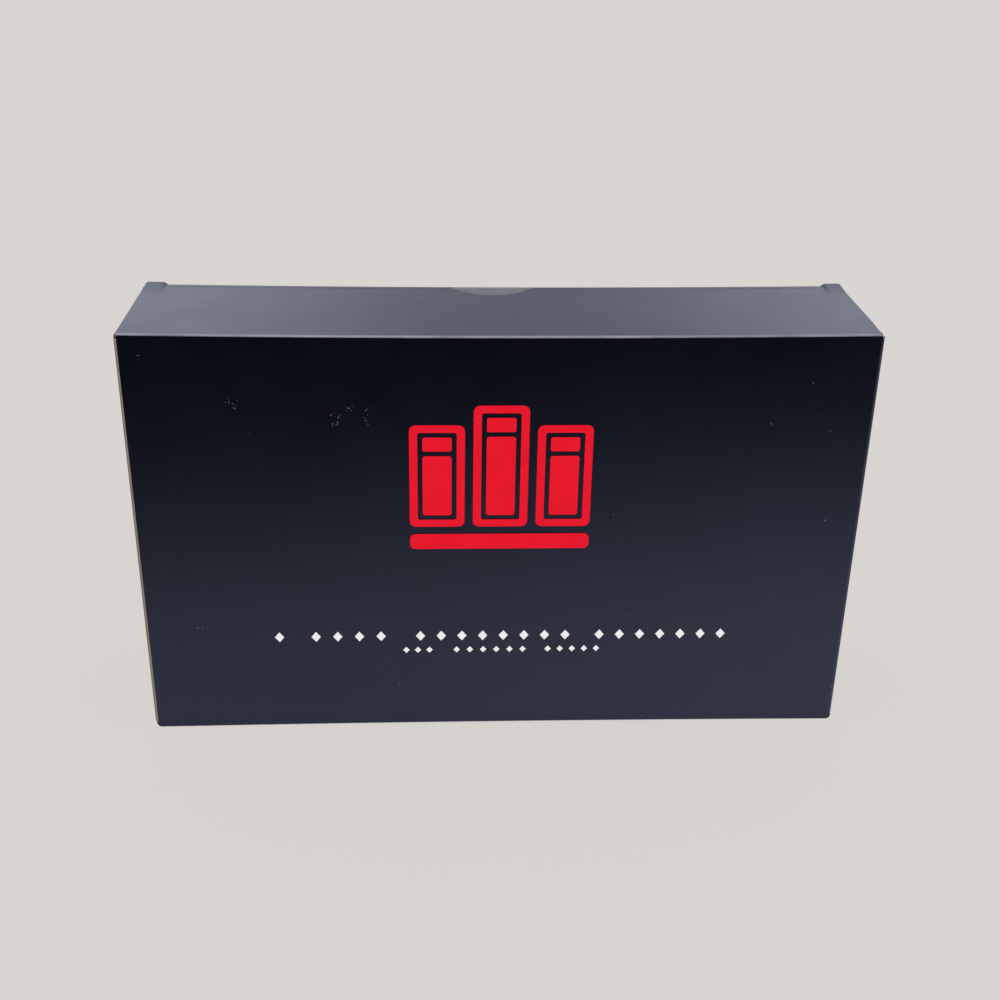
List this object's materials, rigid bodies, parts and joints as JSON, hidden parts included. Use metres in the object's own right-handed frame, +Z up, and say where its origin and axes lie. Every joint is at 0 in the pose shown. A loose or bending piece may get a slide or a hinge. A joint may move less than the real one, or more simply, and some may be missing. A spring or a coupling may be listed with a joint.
{
  "type": "boxed trading card display",
  "caption": "Straight tuck printed carton with hinged lid and base, tuck and dust flaps, holding an upright slotted display for graded cards between foam end caps.",
  "frame": {"origin": "middle of the carton's footprint, on the surface it stands on", "axes": "+X to the right of the printed front, +Y towards the back, +Z up"},
  "size_m": [0.3, 0.066, 0.1822],
  "materials": {
    "printed_board": "satin",
    "raw_board": "matte",
    "white_foam": "matte",
    "black_wood": "satin",
    "black_rubber": "matte",
    "plated_steel": "polished",
    "black_acrylic": "gloss",
    "clear_acrylic": "gloss",
    "grey_felt": "matte"
  },
  "bodies": {
    "carton": {"front_panel": "printed_board", "back_panel": "printed_board", "left_side_panel": "printed_board", "right_side_panel": "printed_board", "glue_flap": "raw_board", "left_end_cap": "white_foam", "right_end_cap": "white_foam", "display_base": "black_wood", "rubber_feet": "black_rubber", "base_screws": "plated_steel", "slot_rail": "black_acrylic", "felt_pads": "grey_felt", "back_plate": "black_acrylic", "front_plate": "clear_acrylic", "left_end_spacer": "black_acrylic", "left_divider": "black_acrylic", "right_divider": "black_acrylic", "right_end_spacer": "black_acrylic", "barrel_bolts": "plated_steel", "barrel_nuts": "plated_steel"},
    "lid": {"lid_panel": "printed_board"},
    "lid_tuck": {"lid_tuck_flap": "printed_board"},
    "top_left_flap": {"top_left_dust_flap": "printed_board"},
    "top_right_flap": {"top_right_dust_flap": "printed_board"},
    "base": {"base_panel": "printed_board"},
    "base_tuck": {"base_tuck_flap": "printed_board"},
    "bottom_left_flap": {"bottom_left_dust_flap": "printed_board"},
    "bottom_right_flap": {"bottom_right_dust_flap": "printed_board"}
  },
  "joints": [
    {"name": "lid_crease", "type": "hinge", "parent": "carton", "child": "lid", "pos_m": [0, -0.0324, 0.1804], "axis": [1, 0, 0], "range_deg": [0, 180]},
    {"name": "lid_tuck_crease", "type": "hinge", "parent": "lid", "child": "lid_tuck", "pos_m": [0, 0.0309, 0.1804], "axis": [1, 0, 0], "range_deg": [0, 45]},
    {"name": "top_left_flap_crease", "type": "hinge", "parent": "carton", "child": "top_left_flap", "pos_m": [-0.1494, 0, 0.1789], "axis": [0, -1, 0], "range_deg": [0, 90]},
    {"name": "top_right_flap_crease", "type": "hinge", "parent": "carton", "child": "top_right_flap", "pos_m": [0.1494, 0, 0.1789], "axis": [0, 1, 0], "range_deg": [0, 90]},
    {"name": "base_crease", "type": "hinge", "parent": "carton", "child": "base", "pos_m": [0, -0.0324, 0.0006], "axis": [-1, 0, 0], "range_deg": [0, 180]},
    {"name": "base_tuck_crease", "type": "hinge", "parent": "base", "child": "base_tuck", "pos_m": [0, 0.0309, 0.0006], "axis": [-1, 0, 0], "range_deg": [0, 45]},
    {"name": "bottom_left_flap_crease", "type": "hinge", "parent": "carton", "child": "bottom_left_flap", "pos_m": [-0.1494, 0, 0.0021], "axis": [0, 1, 0], "range_deg": [0, 90]},
    {"name": "bottom_right_flap_crease", "type": "hinge", "parent": "carton", "child": "bottom_right_flap", "pos_m": [0.1494, 0, 0.0021], "axis": [0, -1, 0], "range_deg": [0, 90]}
  ],
  "couplings": [
    {"joint": "lid_tuck_crease", "follows": "lid_crease", "ratio": 0.25},
    {"joint": "top_left_flap_crease", "follows": "lid_crease", "ratio": 0.5},
    {"joint": "top_right_flap_crease", "follows": "lid_crease", "ratio": 0.5},
    {"joint": "base_tuck_crease", "follows": "base_crease", "ratio": 0.25},
    {"joint": "bottom_left_flap_crease", "follows": "base_crease", "ratio": 0.5},
    {"joint": "bottom_right_flap_crease", "follows": "base_crease", "ratio": 0.5}
  ]
}
